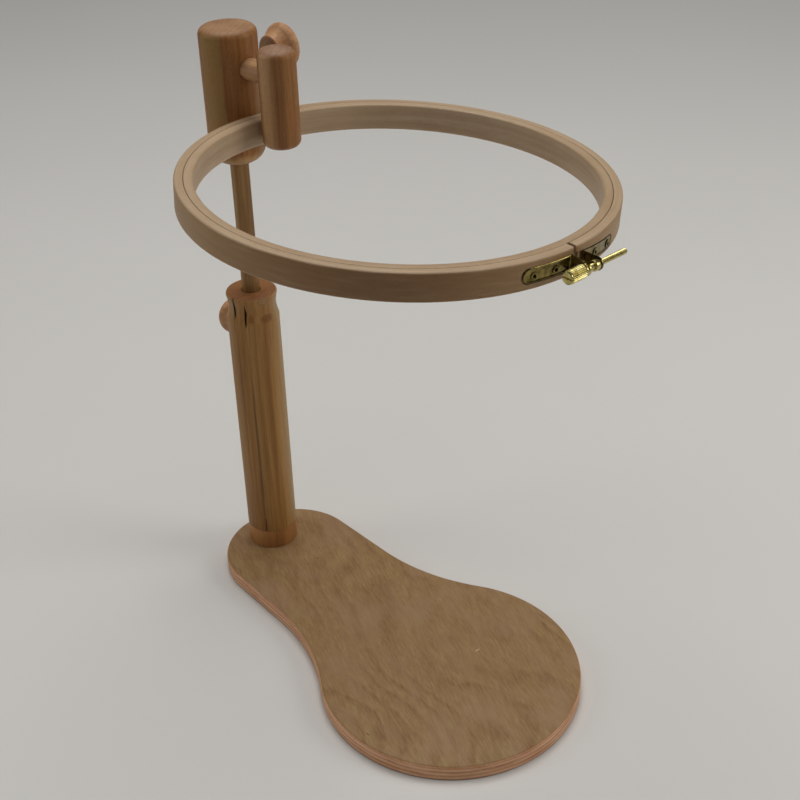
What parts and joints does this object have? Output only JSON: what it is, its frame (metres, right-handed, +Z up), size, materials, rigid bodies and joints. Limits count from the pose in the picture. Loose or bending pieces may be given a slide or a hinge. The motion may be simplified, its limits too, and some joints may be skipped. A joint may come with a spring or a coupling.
{
  "type": "embroidery hoop on stand",
  "caption": "Wooden embroidery hoop clamped to a turned head on a telescoping post, standing on a paddle-shaped board, with knobs for height and tilt",
  "frame": {"origin": "on the underside of the board, on the axis of the post", "axes": "+Z up along the post, +X along the board away from the post, +Y to the left of it"},
  "size_m": [0.3343, 0.2604, 0.416],
  "materials": {
    "birch_ply": "sanded plywood, oiled",
    "beech": "turned and oiled beech",
    "dark_beech": "turned and oiled darker beech",
    "pale_beech": "smooth pale beech",
    "brass": "polished brass",
    "steel": "plain turned steel"
  },
  "bodies": {
    "stand": {"base_board": "birch_ply", "foot_collar": "dark_beech", "foot_screw_1": "steel", "foot_screw_2": "steel", "foot_screw_3": "steel", "post_tube": "beech", "post_insert": "brass"},
    "post_clamp_stud": {"post_stud": "steel"},
    "post_clamp_knob": {"post_knob": "beech"},
    "mast": {"mast_rod": "pale_beech"},
    "head": {"head_block": "beech", "head_insert": "brass"},
    "head_clamp_stud": {"head_stud": "steel"},
    "head_clamp_knob": {"head_knob": "beech"},
    "tilt_arm": {"pivot_dowel": "pale_beech"},
    "jaw": {"hoop_jaw": "dark_beech"},
    "hoop": {"outer_ring": "pale_beech", "strap_left": "brass", "strap_right": "brass", "rivet_1": "brass", "rivet_2": "brass", "rivet_3": "brass", "rivet_4": "brass", "lug_nut": "brass"},
    "inner_hoop": {"inner_ring": "pale_beech"},
    "tensioner": {"tension_screw": "brass"}
  },
  "joints": [
    {"name": "rod_height", "type": "slide", "parent": "stand", "child": "mast", "axis": [0, 0, 1], "range_m": [-0.085, 0.028]},
    {"name": "head_swivel", "type": "hinge", "parent": "mast", "child": "head", "pos_m": [0, 0, 0.345], "axis": [0, 0, 1], "continuous": true},
    {"name": "post_stud_draw", "type": "slide", "parent": "stand", "child": "post_clamp_stud", "axis": [-0.9659, 0.2588, 0], "range_m": [0, 0.003]},
    {"name": "post_knob_turn", "type": "hinge", "parent": "post_clamp_stud", "child": "post_clamp_knob", "pos_m": [0, 0, 0.1925], "axis": [-0.9659, 0.2588, 0], "range_deg": [0, 720]},
    {"name": "head_stud_draw", "type": "slide", "parent": "head", "child": "head_clamp_stud", "axis": [-0.1045, 0.9945, 0], "range_m": [0, 0.003]},
    {"name": "head_knob_turn", "type": "hinge", "parent": "head_clamp_stud", "child": "head_clamp_knob", "pos_m": [0, 0, 0.391], "axis": [-0.1045, 0.9945, 0], "range_deg": [0, 720]},
    {"name": "hoop_tilt", "type": "hinge", "parent": "head", "child": "tilt_arm", "pos_m": [0, 0, 0.391], "axis": [0.9945, 0.1045, 0], "continuous": true},
    {"name": "jaw_open", "type": "slide", "parent": "tilt_arm", "child": "jaw", "axis": [0.9945, 0.1045, 0], "range_m": [0, 0.01]},
    {"name": "hoop_release", "type": "slide", "parent": "tilt_arm", "child": "hoop", "axis": [0, 0, -1], "range_m": [0, 0.03]},
    {"name": "inner_ring_release", "type": "slide", "parent": "hoop", "child": "inner_hoop", "axis": [-0.0346, -0.0516, -0.9981], "range_m": [0, 0.018]},
    {"name": "tension_screw_turn", "type": "hinge", "parent": "hoop", "child": "tensioner", "pos_m": [0.28918, 0.02132, 0.34292], "axis": [0.0768, -0.9959, 0.0488], "continuous": true}
  ],
  "couplings": [
    {"joint": "post_stud_draw", "follows": "post_knob_turn", "m_per_rad": 0.00023873},
    {"joint": "head_stud_draw", "follows": "head_knob_turn", "m_per_rad": 0.00023873}
  ]
}
